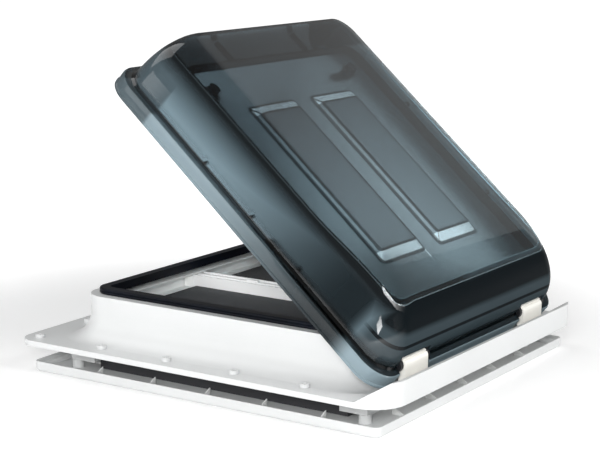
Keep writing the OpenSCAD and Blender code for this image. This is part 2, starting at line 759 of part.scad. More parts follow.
module hinge_pin(side) color("silver") swing()
  translate([side * hinge_x, hinge_y, hinge_z]) rod_x(pin_r, 2 * ear_out);

module at_latch(side) {
  swing() translate([side * latch_x, latch_y, 0]) children();
}

// Hub through the pane, with a disc below it and a knob above it
module latch_base(side) color("#1c1d20") at_latch(side) difference() {
  union() {
    translate([0, 0, pane_z - base_t]) cylinder(r = base_r, h = base_t);
    translate([0, 0, lever_z + lever_floor + slip_fit])
      cylinder(r = hub_r, h = pane_top - lever_z - lever_floor);
    translate([0, 0, pane_top]) cylinder(r = knob_r, h = knob_h);
  }
  translate([0, 0, lever_z]) cylinder(r = latch_screw_r, h = latch_screw_l + past);
}

module latch_screws() color("silver") for (s = [-1, 1]) at_latch(s) {
  translate([0, 0, lever_z + 0.2]) cylinder(r = latch_head_r, h = latch_head_h);
  translate([0, 0, lever_z + 0.2]) cylinder(r = latch_screw_r - press_fit, h = latch_screw_l);
}

// Flat arm along X with a round end
module lever_arm(way, reach) {
  translate([way * reach / 2, 0]) square([reach, lever_w], center = true);
  translate([way * reach, 0]) circle(lever_w / 2);
}

// Quarter-turn lever: a tongue that turns out under the ledge, a finger lever and the turning sleeve
module latch_lever(side) color("#1c1d20") at_latch(side) difference() {
  union() {
    translate([0, 0, lever_z]) linear_extrude(lever_t) {
      lever_arm(-side, tongue_l - lever_w / 2);
      lever_arm(side, finger_l - lever_w / 2);
    }
    translate([0, 0, lever_z]) cylinder(r = sleeve_r, h = sleeve_top - lever_z);
  }
  translate([0, 0, lever_z + lever_floor]) cylinder(r = hub_r + running_fit, h = sleeve_top);
  translate([0, 0, lever_z - past]) cylinder(r = latch_screw_r + 0.2, h = lever_floor + 2 * past);
  translate([0, 0, lever_z - past]) cylinder(r = latch_head_r + slip_fit, h = past + latch_head_h + 0.4);
}

// Roller parts, drawn at the free blackout side and turned round for the screen
module at_roller(turn) {
  rotate(turn) translate([roller_x, 0, roller_z]) children();
}

module roller_tube(turn) color("#b9bcbf") at_roller(turn) tube_y(tube_r, tube_r - tube_t, tube_l);

module roller_plugs(turn) color("#2a2b2e") at_roller(turn) for (e = [-1, 1])
  translate([0, e * (tube_l - plug_l) / 2, 0])
    tube_y(tube_r - tube_t - press_fit, axle_r + running_fit, plug_l);

module roller_spring(turn) color("#8d9194") at_roller(turn)
  tube_y(tube_r - tube_t - slip_fit, tube_r - 2 * tube_t - slip_fit, spring_l);

module cloth_roll(turn, shade) color(shade) at_roller(turn) tube_y(roll_r, tube_r + press_fit, cloth_w - 4);

outer_frame();
frame_seal();
hinge_bracket(-1);  // hinge_bracket_left
hinge_bracket(1);  // hinge_bracket_right
hinge_bush(-1);  // hinge_bush_left
hinge_bush(1);  // hinge_bush_right
bracket_screws();
ceiling_trim();
trim_screws();
trim_screw_caps();
guide_rail_hinge_side();
guide_rail_free_side();
screen_cassette();
blackout_cassette();
cassette_end_caps();
roller_axles();
duct_screws();
screen_cloth();
blackout_cloth();
dome_shell();
inner_pane();
pane_spacers();
lip_clips();
hinge_leaf(-1);  // hinge_leaf_left
hinge_leaf(1);  // hinge_leaf_right
hinge_pin(-1);  // hinge_pin_left
hinge_pin(1);  // hinge_pin_right
latch_base(-1);  // latch_base_left
latch_base(1);  // latch_base_right
latch_screws();
latch_lever(-1);  // latch_lever_left
latch_lever(1);  // latch_lever_right
screen_pull_bar();
screen_bar_glides();
bar_catch();
blackout_pull_bar();
blackout_bar_glides();
roller_tube(180);  // screen_roller
roller_plugs(180);  // screen_roller_plugs
roller_spring(180);  // screen_roller_spring
cloth_roll(180, "#4a4d52");  // screen_cloth_roll
roller_tube(0);  // blackout_roller
roller_plugs(0);  // blackout_roller_plugs
roller_spring(0);  // blackout_roller_spring
cloth_roll(0, "#3b3e43");  // blackout_cloth_roll
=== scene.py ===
"""Looks of an opening caravan roof vent: dome, inner pane, trim fins, blind cloths, finishes and studio."""

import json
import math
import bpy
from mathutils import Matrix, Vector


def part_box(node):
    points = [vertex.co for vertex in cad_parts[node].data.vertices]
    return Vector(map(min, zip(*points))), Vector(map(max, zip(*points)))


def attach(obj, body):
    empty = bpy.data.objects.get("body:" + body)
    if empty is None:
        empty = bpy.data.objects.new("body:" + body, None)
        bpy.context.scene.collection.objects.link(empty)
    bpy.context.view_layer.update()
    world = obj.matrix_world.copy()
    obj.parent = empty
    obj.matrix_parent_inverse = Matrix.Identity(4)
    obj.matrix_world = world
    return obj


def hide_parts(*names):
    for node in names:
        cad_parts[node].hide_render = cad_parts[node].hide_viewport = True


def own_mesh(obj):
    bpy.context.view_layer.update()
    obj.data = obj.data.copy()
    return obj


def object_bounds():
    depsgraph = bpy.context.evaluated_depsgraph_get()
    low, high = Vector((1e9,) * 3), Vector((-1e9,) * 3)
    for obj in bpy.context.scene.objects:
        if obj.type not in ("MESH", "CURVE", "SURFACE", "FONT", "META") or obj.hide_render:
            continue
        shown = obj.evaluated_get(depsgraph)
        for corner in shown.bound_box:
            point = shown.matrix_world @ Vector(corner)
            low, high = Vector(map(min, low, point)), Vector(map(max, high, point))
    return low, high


bl_info = {
    "name": "Caravan roof vent",
    "version": (1, 0, 0),
    "blender": (4, 5, 0),
    "location": "3D View > Sidebar > Roof vent",
    "description": "Models a vent's dome, inner pane, trim fins and blind cloths, and finishes every piece",
    "category": "Object",
}

import bpy
from bpy.props import FloatProperty, FloatVectorProperty, PointerProperty
from mathutils import Matrix, Vector

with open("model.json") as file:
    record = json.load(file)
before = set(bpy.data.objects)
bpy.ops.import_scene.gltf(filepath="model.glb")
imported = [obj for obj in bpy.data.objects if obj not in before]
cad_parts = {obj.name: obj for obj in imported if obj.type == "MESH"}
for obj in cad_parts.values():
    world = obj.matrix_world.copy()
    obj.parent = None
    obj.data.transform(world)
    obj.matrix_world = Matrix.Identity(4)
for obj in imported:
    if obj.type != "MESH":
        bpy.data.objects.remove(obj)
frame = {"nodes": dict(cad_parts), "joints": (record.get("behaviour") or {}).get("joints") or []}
CAD_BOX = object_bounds()

HINGE = next(j for j in frame["joints"] if j["name"] == "dome_hinge")
HINGE_AT = Vector(HINGE["pos_m"])
OPEN_ANGLE = math.radians(-HINGE["range_deg"][0])
SWING = Matrix.Translation(HINGE_AT) @ Matrix.Rotation(OPEN_ANGLE, 4, "X") @ Matrix.Translation(-HINGE_AT)

# Section of the dome's lip: inset with height above its foot, then inset with depth below its step
LIP_BEAD = ((0.0, 0.0025), (0.0008, 0.0035))
LIP_ROUND = ((0.0008, 0.003), (0.0015, 0.001), (0.003, 0.0))

# Foot of the dome's wall on the step, and the leans in degrees of the rings of its curve
WALL_FLARE = 0.002
WALL_LIFT = 0.0001
WALL_LEANS = range(2, 91, 4)

# Zones of the dome's finish: a pair is the metres between which one changes, a number a size or strength; the
# shoulder, both ends, the wall foot and a line on the hinge end get painted shade, the crown a painted sheen
END_ALONG = (-0.185, -0.155)
CORNER_ACROSS, CORNER_ALONG = (-0.19, -0.15), (-0.185, -0.15)
RISE_ALONG, RISE = (-0.14, -0.04), 0.003
CROWN_UP = (0.0843, 0.0853)
# Painted shade is cut by this share on the far side
FAR_ACROSS, FAR_CUT = (-0.05, 0.05), 0.75
# Painted sheen on the crown: where it starts, and how fast it grows across and along
SHEEN_ACROSS, SHEEN_ALONG = 0.185, 0.05
SHEEN_GROWS_ACROSS, SHEEN_GROWS_ALONG = 2.0, 3.5
# Painted shade round the shoulder, from its foot to its top
SHOULDER_SHADE_UP = (0.048, 0.0825)
SHADE_ALONG, SHADE = (-0.14, 0.09), 0.93
# Painted shade in the crease at the foot of the wall
FOOT_SHADE_UP, FOOT_SHADE_TOP = (0.0319, 0.0322), (0.0348, 0.0356)
LIP_UP = (0.0312, 0.0318)
END_SHADE_LINE_AT, END_SHADE_LINE_HALF = 0.0565, 0.003
END_SHADE_UP, END_SHADE_LOW, END_SHADE_GAIN = (0.065, 0.072), 0.8, 0.2
FREE_END_SHADE_ALONG, FREE_END_SHADE = (0.157, 0.163), 0.6
WALL_UP, WALL_TOP = (0.034, 0.040), (0.074, 0.082)
WALL_FREE, WALL_HINGE = (0.15, 0.19), (-0.195, -0.165)
MATT_ACROSS, LIP_MATT = (-0.205, -0.175), 0.4
PEG_PITCH, PEG_HALF, PEG_UP = 0.08, (0.0015, 0.004), (0.038, 0.047)
PEGS_HINGE, PEGS_FREE = (-0.12, -0.11), (0.11, 0.12)
HAZE_UP = (0.034, 0.046)
WALL_HAZE, LIP_HAZE, END_HAZE = 0.7, 0.65, 0.25

# Lines and zones of the inner pane's finish, in metres: painted shade at its rim and field edges, painted
# highlights at the field ends and on the glint line
PANE_RIM = (-0.0035, -0.0025)
FIELD_ROUND, TOP_ROUND = 0.006, 0.002
FIELD_LINE, TOP_LINE = 0.0024, 0.0018
CRISP = (-0.0005, 0.0005)
# Length of the painted highlight at each field end
END_HIGHLIGHT_STEP = 0.001
GLINT_HALF, GLINT_HINGE, GLINT_FREE = 0.0016, (-0.131, -0.127), (0.075, 0.079)

# Mesh work, in metres: what counts as the same level or place, merging distances and soft edges
SAME_LEVEL = 1e-5
FIELD_FIND = 0.004
FIELD_MERGE = 0.00001
FIELD_EDGE = 0.0008
FIN_MERGE = 0.00002
FIN_EDGE = 0.0002

# Least upward share of the normal of a level face
LEVEL_NORMAL = 0.9

# Fins on each side of the trim, and how far a fin's top falls as a share of its height
FIN_COUNT = 5
FIN_FALL = 0.8

# Blind cloths: faces across and along, waves, thickness and the pitch of each weave
CLOTH_FACES = {"x_subdivisions": 48, "y_subdivisions": 90}
CLOTH_WAVE, CLOTH_WAVE_LENGTH = 0.0009, 0.09
CLOTH_THICK = 0.0004
SCREEN_WEAVE, BLACKOUT_WEAVE = 0.0016, 0.0011

# Studio: the floor and its glow from near the part to far from it, and the light of the air
FLOOR_SIDE = 40.0
GLOW_AWAY = (0.4, 1.0)
GLOW_NEAR, GLOW_FAR = (0.16, 0.16, 0.16), (0.9, 0.9, 0.9)
AIR_LIGHT = 0.22

# Soft lights: name, place, target, width, height, watts and the direction that the width follows
LEVEL = (1.0, 0.0, 0.0)
SOFTBOXES = (
    ("strip_softbox", (-0.24, -1.565, 1.325), (-0.19, -0.19, 0.13), 1.3, 0.2, 14.0, (1.3, -0.92, -0.68)),
    ("edge_softbox", (0.64, -1.84, 0.82), (-0.18, -0.22, 0.10), 0.9, 0.2, 7.0, (0.76, 0.2, -0.44)),
    ("top_softbox", (-0.4, 1.1, 2.2), (0.0, 0.0, 0.1), 1.6, 1.6, 19.0, LEVEL),
    ("left_softbox", (-2.2, 1.05, 0.85), (0.0, 0.0, 0.1), 1.6, 1.0, 11.0, LEVEL),
    ("right_softbox", (2.7, -0.3, 1.75), (0.0, 0.0, 0.2), 2.6, 1.8, 3.0, LEVEL),
    ("camera_softbox", (-2.1, -1.0, 0.75), (0.0, 0.0, 0.05), 0.8, 0.6, 37.0, LEVEL),
    ("fill_softbox", (0.3, -2.6, 0.6), (0.0, 0.0, 0.1), 1.4, 0.8, 1.5, LEVEL),
)

# The photograph's camera: place in metres, turns in degrees, focal length and width in pixels, sensor in mm
CAMERA_AT = (-1.7394, -1.0770, 0.5233)
CAMERA_YAW, CAMERA_PITCH, CAMERA_ROLL = 32.05, 10.89, 0.816
FOCAL_PIXELS, PHOTO_PIXELS = 1760.4, 600.0
SENSOR_MM = 36.0
CAMERA_NEAR, CAMERA_FAR = 0.05, 100.0

# Sockets of a Mix node that mixes colours
MIX_FACTOR, MIX_FIRST, MIX_SECOND, MIX_RESULT = 0, 6, 7, 2


def span(node, axis):
    """Size of a CAD node along one axis."""
    low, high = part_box(node)
    return high[axis] - low[axis]


def length(label, text, default):
    """A size that a user can change, in metres."""
    return FloatProperty(name=label, description=text, default=default, min=0.0, unit="LENGTH", precision=4)


def tint(label, text, default):
    """A colour that a user can change."""
    return FloatVectorProperty(
        name=label, description=text, default=default, min=0.0, max=1.0, size=3, subtype="COLOR"
    )


class VentSizes(bpy.types.PropertyGroup):
    """Sizes of the pieces that are modelled here, in the dome's shut position."""

    lip_width: length("Lip width", "Width of the dome over its lip", span("dome_shell", 0))
    lip_hinge: length("Lip at the hinge", "Reach of the lip from the middle to the hinge end", 0.230)
    lip_free: length("Lip at the free end", "Reach of the lip from the middle to the free end", 0.229)
    lip_radius: length("Lip radius", "Corner radius of the lip", 0.032)
    lip_height: length("Lip height", "Height of the upright skirt of the lip", 0.0175)
    step_width: length("Step width", "Width of the step from the lip to the wall", 0.010)
    crown_rise: length("Crown rise", "Rise of the crown above the step", 0.0698)
    side_curve: length("Side curve", "How far the sides curve in up to the crown", 0.058)
    hinge_curve: length("Hinge end curve", "How far the hinge end curves in up to the crown", 0.100)
    free_curve: length("Free end curve", "How far the free end curves in up to the crown", 0.015)
    shell: length("Shell", "Wall of the dome", 0.003)
    notch_width: length("Notch width", "Width of the hinge notches", 0.0658)
    notch_height: length("Notch height", "Top of the hinge notches above the hinge axis", 0.014)
    notch_depth: length("Notch depth", "Depth of the hinge notches behind the hinge axis", 0.013)
    pane: length("Pane", "Thickness of the inner pane", 0.002)
    pane_width: length("Pane width", "Side of the square pane", 0.362)
    pane_radius: length("Pane radius", "Corner radius of the pane", 0.020)
    pane_level: length("Pane level", "Underside of the pane above the roof", 0.0648)
    pane_edge: length("Pane edge", "Top of the pane's upright edge above its underside", 0.012)
    field_width: length("Field width", "Width of each raised field", 0.093)
    field_length: length("Field length", "Length of each raised field", 0.236)
    field_gap: length("Field gap", "Flat bar between the two fields", 0.036)
    field_rise: length("Field rise", "Rise of the fields above the flat", 0.005)
    field_slope: length("Field slope", "Width of the sloping sides of a field", 0.008)
    field_end: length("Field end slope", "Length of the sloping ends of a field", 0.014)
    fin_inner: length("Fin place", "Distance of the fins' tall ends from the middle", 0.202)
    fin_length: length("Fin length", "Length of a fin", 0.0145)
    fin_height: length("Fin height", "Height of a fin at its tall end", 0.0085)
    fin_thick: length("Fin thickness", "Thickness of a fin", 0.0015)
    fin_pitch: length("Fin pitch", "Distance between the fins", 0.075)
    fin_floor: length("Fin floor", "Foot of the fins above the underside of the trim", 0.00245)


class VentColours(bpy.types.PropertyGroup):
    """Base colours of the finishes, and the colours of their painted shade and sheen."""

    white: tint("White", "Outer frame and trim", (0.65, 0.66, 0.66))
    bar: tint("Bar white", "Pull bars", (0.98, 0.985, 0.985))
    cream: tint("Cream", "Hinge brackets", (0.88, 0.865, 0.81))
    pale: tint("Pale grey", "Guide rails and glides", (0.90, 0.91, 0.90))
    black: tint("Black", "Cassettes, latches, hinge leaves and spacers", (0.012, 0.013, 0.015))
    rubber: tint("Rubber", "Seal", (0.003, 0.004, 0.007))
    steel: tint("Steel", "Pins, axles and screws", (0.62, 0.62, 0.63))
    aluminium: tint("Aluminium", "Tubes of the rollers", (0.70, 0.71, 0.72))
    smoke: tint("Smoke", "Dome", (0.155, 0.217, 0.25))
    # Painted shade: the colour that the dome is darkened towards round its shoulder, ends and wall foot
    painted_shade: tint("Dark smoke", "Hinge end of the dome and foot of its walls", (0.005, 0.0075, 0.009))
    smoke_light: tint("Light smoke", "Lip of the dome", (0.23, 0.30, 0.335))
    # Painted sheen: the paler colour that stands for a reflection on the crown
    painted_sheen: tint("Clear smoke", "Crown of the dome towards the hinges", (0.60, 0.80, 0.88))
    clear: tint("Clear", "Inner pane", (0.35, 0.375, 0.39))
    clear_dark: tint("Dark pane", "Tops of the pane's raised fields", (0.22, 0.24, 0.255))
    # Painted shade: the pane's upright rim and the edges of its fields are darkened towards this colour
    pane_edge_shade: tint("Pane edge", "Rim and edges of the pane", (0.004, 0.005, 0.006))
    screen: tint("Screen", "Insect screen", (0.010, 0.014, 0.019))
    blackout: tint("Blackout", "Blackout cloth", (0.016, 0.018, 0.021))
    floor: tint("Floor", "Studio floor", (0.93, 0.93, 0.93))


class Value:
    """A node's output that takes part in Python arithmetic through Math nodes."""

    def __init__(self, finish, socket):
        self.finish, self.socket = finish, socket

    def pick(self, name):
        """Another output of the same node."""
        return Value(self.finish, self.socket.node.outputs[name])

    def math(self, operation, *others):
        """A Math node on this value and others."""
        sockets = dict(enumerate((self, *others)))
        return self.finish.node("ShaderNodeMath", {"operation": operation}, sockets)

    def __add__(self, other):
        return self.math("ADD", other)

    def __sub__(self, other):
        return self.math("SUBTRACT", other)

    def __rsub__(self, other):
        return (self * -1.0).math("ADD", other)

    def __mul__(self, other):
        return self.math("MULTIPLY", other)

    __radd__, __rmul__ = __add__, __mul__

    def ramp(self, low, high, kind="LINEAR"):
        """0 below low, 1 above high, and even between."""
        sockets = {"Value": self, "From Min": low, "From Max": high}
        return self.finish.node("ShaderNodeMapRange", {"interpolation_type": kind}, sockets)

    def smooth(self, low, high):
        """0 below low, 1 above high, and smooth between."""
        return self.ramp(low, high, "SMOOTHSTEP")

    def fade(self, low, high):
        """1 below low, 0 above high, and smooth between."""
        return 1.0 - self.smooth(low, high)


class Finish:
    """One material: a Principled shader and the nodes that feed it."""

    def __init__(self, name, **sockets):
        self.material = bpy.data.materials.new(name)
        self.material.use_nodes = True
        self.tree = self.material.node_tree
        self.shader = self.tree.nodes["Principled BSDF"]
        self.coords = self.node("ShaderNodeTexCoord").pick("Object")
        self.feed(sockets)

    def node(self, kind, settings=None, sockets=None, out=0):
        """Adds a node, sets it up, fills its sockets and gives one output."""
        made = self.tree.nodes.new(kind)
        for key, value in (settings or {}).items():
            setattr(made, key, value)
        self.wire(made, sockets or {})
        return Value(self, made.outputs[out])

    def wire(self, made, sockets):
        """Links or sets the sockets of a node."""
        for key, value in sockets.items():
            if isinstance(value, Value):
                self.tree.links.new(value.socket, made.inputs[key])
            else:
                made.inputs[key].default_value = value

    def feed(self, sockets):
        """Links or sets the sockets of the material's shader."""
        self.wire(self.shader, sockets)
        return self

    def blend(self, factor, sockets):
        """Mixes a second Principled shader into the material."""
        first = Value(self, self.shader.outputs[0])
        second = self.node("ShaderNodeBsdfPrincipled", None, sockets)
        both = self.node("ShaderNodeMixShader", None, {0: factor, 1: first, 2: second})
        self.wire(self.tree.nodes["Material Output"], {"Surface": both})
        return self

    def noise(self, scale, detail=2.0, coords=None):
        """Noise on the object's own coordinates, or on others made from them."""
        sockets = {"Vector": coords or self.coords, "Scale": scale, "Detail": detail}
        return self.node("ShaderNodeTexNoise", None, sockets)

    def mix(self, factor, first, second):
        """A colour between two, by a factor."""
        sockets = {MIX_FACTOR: factor, MIX_FIRST: rgba(first), MIX_SECOND: rgba(second)}
        return self.node("ShaderNodeMix", {"data_type": "RGBA"}, sockets, MIX_RESULT)

    def bump(self, height, strength, distance, normal=None):
        """Normals roughened by a height."""
        sockets = {"Height": height, "Strength": strength, "Distance": distance}
        if normal:
            sockets["Normal"] = normal
        return self.node("ShaderNodeBump", None, sockets)

    def rounded(self, radius):
        """Normals that make sharp edges look round."""
        return self.node("ShaderNodeBevel", {"samples": 6}, {"Radius": radius})

    def shut(self):
        """The coordinates of a dome piece as if the dome were shut."""
        back = SWING.inverted()
        sockets = {"Vector": self.coords, "Location": back.translation, "Rotation": back.to_euler()}
        return self.node("ShaderNodeMapping", None, sockets)


def rgba(colour):
    """A colour with its alpha, or a value as it is."""
    return colour if isinstance(colour, Value) else (*colour, 1.0)


def shaded(colour, share):
    """A colour made darker or lighter."""
    return tuple(channel * share for channel in colour)


def moulded_plastic(name, colour, roughness=0.34, edge=0.0008, shine=0.5):
    """Injection-moulded plastic: faint cloudiness, fine grain and soft edges."""
    f = Finish(name, **{"Specular IOR Level": shine})
    cloud = f.noise(scale=9.0, detail=3.0)
    grain = f.noise(scale=1400.0, detail=1.0)
    return f.feed({
        "Base Color": f.mix(cloud.smooth(0.3, 0.7), shaded(colour, 0.965), colour),
        "Roughness": cloud * 0.08 + (roughness - 0.04),
        "Normal": f.bump(grain, strength=0.05, distance=0.0002, normal=f.rounded(edge)),
    }).material


def rubber(name, colour):
    """Soft black rubber with a fine grain and a faint dry film."""
    f = Finish(name, **{"Specular IOR Level": 0.12})
    grain = f.noise(scale=900.0)
    film = f.noise(scale=22.0, detail=3.0)
    return f.feed({
        "Base Color": f.mix(film.smooth(0.35, 0.75), colour, shaded(colour, 2.2)),
        "Roughness": film * 0.16 + 0.36,
        "Normal": f.bump(grain, strength=0.12, distance=0.0003),
    }).material


def metal(name, colour, stretch):
    """Drawn or turned metal, with streaks along one direction."""
    f = Finish(name, Metallic=1.0)
    along = f.node("ShaderNodeMapping", None, {"Vector": f.coords, "Scale": stretch})
    streak = f.noise(scale=60.0, coords=along)
    return f.feed({
        "Base Color": f.mix(streak, shaded(colour, 0.85), colour),
        "Roughness": streak * 0.18 + 0.22,
    }).material


def line(distance, half):
    """1 on a line of that half width, 0 off it."""
    return distance.math("ABSOLUTE").fade(half * 0.5, half)


def smoked_acrylic(name, colours):
    """Polished see-through dome, with painted shade round its shoulder, hinge end, free end and wall foot, a
    painted sheen on its crown, a pale lip and cloudy walls.
    """
    gloss = {"Coat IOR": 1.45, "Coat Roughness": 0.015}
    f = Finish(name, **{"Transmission Weight": 1.0, "IOR": 1.12}, **gloss)
    place = f.node("ShaderNodeSeparateXYZ", None, {"Vector": f.shut()})
    across, along, height = place.pick("X"), place.pick("Y"), place.pick("Z")
    end = along.fade(*END_ALONG)
    corner = across.fade(*CORNER_ACROSS) * along.fade(*CORNER_ALONG)
    rise = along.fade(*RISE_ALONG) * (1.0 - corner) * RISE
    crown = (height - rise).smooth(*CROWN_UP)
    back = end * (1.0 - crown)
    # Painted shade is full on the near side and cut on the far side
    near = 1.0 - across.smooth(*FAR_ACROSS) * FAR_CUT
    # Painted sheen: the crown turns paler away from the near side and towards the hinge end, for a reflection
    light = (across + SHEEN_ACROSS) * SHEEN_GROWS_ACROSS + (SHEEN_ALONG - along) * SHEEN_GROWS_ALONG
    light = light.ramp(0.0, 1.0) * crown
    # Painted shade on the shoulder below the crown, growing upwards
    shoulder = height.ramp(*SHOULDER_SHADE_UP) * near * (1.0 - crown)
    shade = along.fade(*SHADE_ALONG) * near * (1.0 - crown) * SHADE
    # Painted shade: a dark band at the foot of the wall, in the crease above the step
    foot = height.smooth(*FOOT_SHADE_UP) * height.fade(*FOOT_SHADE_TOP)
    lip = height.fade(*LIP_UP)
    # Painted shade: a dark line across the hinge end
    end_shade_line = line(height - END_SHADE_LINE_AT, END_SHADE_LINE_HALF) * back
    # Painted shade over the hinge end, deepest at its top
    hinge_end_shade = back * (height.smooth(*END_SHADE_UP) * END_SHADE_GAIN + END_SHADE_LOW)
    # Painted shade at the free end
    free_end_shade = along.smooth(*FREE_END_SHADE_ALONG) * FREE_END_SHADE
    cloud = f.noise(scale=6.0)
    # The crown's painted sheen, then the pale lip
    tone = f.mix(light, tuple(colours.smoke), tuple(colours.painted_sheen))
    tone = f.mix(lip, tone, tuple(colours.smoke_light))
    # The painted shade zones together, with a faint random cloud, darken the dome towards its painted shade
    # colour
    dark = shoulder.math("MAXIMUM", hinge_end_shade) * (1.0 - lip)
    for zone in (free_end_shade, foot, shade * (1.0 - end), end_shade_line):
        dark = dark.math("MAXIMUM", zone)
    colour = f.mix(dark + cloud * 0.03, tone, tuple(colours.painted_shade))
    wall = height.smooth(*WALL_UP) * height.fade(*WALL_TOP)
    wall = wall * along.fade(*WALL_FREE) * along.smooth(*WALL_HINGE)
    shine = (1.0 - back * across.smooth(*MATT_ACROSS)) * (1.0 - wall) * (1.0 - lip * LIP_MATT)
    wave = f.bump(f.noise(scale=9.0, detail=1.0), strength=0.06, distance=0.004)
    f.feed({"Base Color": colour, "Roughness": cloud * 0.02 + 0.012, "Normal": wave, "Coat Weight": shine})
    peg = along.math("PINGPONG", PEG_PITCH / 2).fade(*PEG_HALF) * height.fade(*PEG_UP)
    peg = peg * along.smooth(*PEGS_HINGE) * along.fade(*PEGS_FREE)
    haze = height.smooth(*HAZE_UP) * (1.0 - crown) * (1.0 - peg) * WALL_HAZE + lip * LIP_HAZE
    body = {"Base Color": colour, "Roughness": 0.4, "IOR": 1.04, "Coat Weight": shine, **gloss}
    return f.blend(haze + back * END_HAZE, body).material


def outside(across, along, width, long, radius):
    """Distance out from the edge of a rounded rectangle, from distances to its middle."""
    x, y = across - (width / 2 - radius), along - (long / 2 - radius)
    squares = [value.math("MAXIMUM", 0.0).math("POWER", 2.0) for value in (x, y)]
    corner = (squares[0] + squares[1]).math("SQRT")
    return corner + x.math("MAXIMUM", y).math("MINIMUM", 0.0) - radius


def clear_acrylic(name, colours, s):
    """Inner pane, lightly smoked, with painted shade on its upright edge and moulded edges, painted
    highlights on its field ends and one glint line, and darker field tops.
    """
    f = Finish(name, **{"Transmission Weight": 1.0, "IOR": 1.35})
    place = f.node("ShaderNodeSeparateXYZ", None, {"Vector": f.shut()})
    x, y = place.pick("X"), place.pick("Y")
    across, along = x.math("ABSOLUTE"), y.math("ABSOLUTE")
    # Painted shade on the pane's upright rim
    rim = outside(across, along, s.pane_width, s.pane_width, s.pane_radius).smooth(*PANE_RIM)
    middle = (across - (s.field_gap + s.field_width) / 2).math("ABSOLUTE")
    base = outside(middle, along, s.field_width, s.field_length, FIELD_ROUND)
    top_width, top_long = s.field_width - 2 * s.field_slope, s.field_length - 2 * s.field_end
    top = outside(middle, along, top_width, top_long, TOP_ROUND)
    # Painted shade: dark lines at the foot and top of each field's slopes
    edges = (line(base, FIELD_LINE) * 0.9).math("MAXIMUM", line(top, TOP_LINE) * 0.95)
    inside = top.fade(*CRISP)
    # Painted highlights: white on the sloping ends of the fields, and a glint line along the inner edge of
    # the near-side field
    end = s.field_length / 2 - s.field_end
    ends = base.fade(*CRISP) * along.smooth(end, end + END_HIGHLIGHT_STEP)
    glint = line(x + s.field_gap / 2, GLINT_HALF) * y.smooth(*GLINT_HINGE) * y.fade(*GLINT_FREE)
    cloud = f.noise(scale=8.0)
    tone = f.mix(inside, tuple(colours.clear), tuple(colours.clear_dark))
    # The painted highlights are white
    tone = f.mix(ends.math("MAXIMUM", glint), tone, (1.0, 1.0, 1.0))
    # The rim and field lines take the painted shade, except under the painted glint
    dark = rim.math("MAXIMUM", edges * (1.0 - glint))
    return f.feed({
        "Base Color": f.mix(dark, tone, tuple(colours.pane_edge_shade)),
        "Roughness": cloud * 0.08 + 0.18,
        "Normal": f.bump(f.noise(scale=11.0, detail=1.0), strength=0.05, distance=0.004),
    }).material


def blind_cloth(name, colour, pitch):
    """Plain weave on the cloth's own plane, with a cloudy tone and roughness."""
    f = Finish(name, **{"Sheen Weight": 0.03, "Sheen Roughness": 0.5})
    place = f.node("ShaderNodeSeparateXYZ", None, {"Vector": f.coords})
    turns = 2 * math.pi / pitch
    weave = (place.pick("X") * turns).math("SINE") * (place.pick("Y") * turns).math("SINE")
    cloud = f.noise(scale=18.0, detail=3.0)
    return f.feed({
        "Base Color": f.mix(cloud * 0.6 + weave * 0.2, shaded(colour, 0.75), shaded(colour, 1.3)),
        "Roughness": cloud * 0.15 + 0.62,
        "Normal": f.bump(weave, strength=0.25, distance=pitch / 3),
    }).material


def coat(obj, material):
    """Gives an object one material."""
    obj.data.materials.clear()
    obj.data.materials.append(material)


def wear(material, *nodes):
    """Gives CAD nodes a finish."""
    for name in nodes:
        coat(frame["nodes"][name], material)


def dress(obj, material, slot, body, *nodes):
    """Finishes a modelled piece, which may stand for CAD nodes."""
    coat(obj, material)
    if nodes:
        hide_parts(*nodes)
    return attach(obj, body)


def select_only(*objects):
    """Selects these objects alone, the first of them active."""
    bpy.ops.object.select_all(action="DESELECT")
    for obj in objects:
        obj.select_set(True)
    bpy.context.view_layer.objects.active = objects[0]


def apply_place():
    """Puts the place, turn and scale of what is selected into its mesh."""
    bpy.ops.object.transform_apply(location=True, rotation=True, scale=True)


def new_piece(name, add, place, scale, **settings):
    """A primitive at its place, with its size in its mesh."""
    bpy.ops.object.select_all(action="DESELECT")
    add(size=1.0, location=place, **settings)
    obj = bpy.context.active_object
    obj.name = obj.data.name = name
    obj.scale = scale
    apply_place()
    return obj


def new_plate(name, width, long, radius, middle, z):
    """A flat face with round corners, left selected in edit mode."""
    obj = new_piece(name, bpy.ops.mesh.primitive_plane_add, (0.0, middle, z), (width, long, 1.0))
    bpy.ops.object.mode_set(mode="EDIT")
    bpy.ops.mesh.select_all(action="SELECT")
    bpy.ops.mesh.bevel(offset=radius, offset_type="OFFSET", affect="VERTICES", segments=10, profile=0.5)
    bpy.ops.mesh.select_all(action="SELECT")
    return obj, [width, long, middle, z]


def lift(ring, width, long, middle, z):
    """Extrudes the selected face to a new ring of that size and place."""
    move = (0.0, middle - ring[2], z - ring[3])
    bpy.ops.mesh.extrude_region_move(TRANSFORM_OT_translate={"value": move})
    scale = (width / ring[0], long / ring[1], 1.0)
    bpy.ops.transform.resize(value=scale, center_override=(0.0, middle, z))
    ring[:] = [width, long, middle, z]


def pick_faces(obj, test):
    """Selects the faces that pass a test, and leaves the object in edit mode."""
    bpy.ops.object.mode_set(mode="EDIT")
    bpy.ops.mesh.select_mode(type="FACE")
    bpy.ops.mesh.select_all(action="DESELECT")
    bpy.ops.object.mode_set(mode="OBJECT")
    found = 0
    for face in obj.data.polygons:
        face.select = bool(test(face))
        found += face.select
    if not found:
        raise RuntimeError(f"{obj.name}: no face was found to work on")
    bpy.ops.object.mode_set(mode="EDIT")


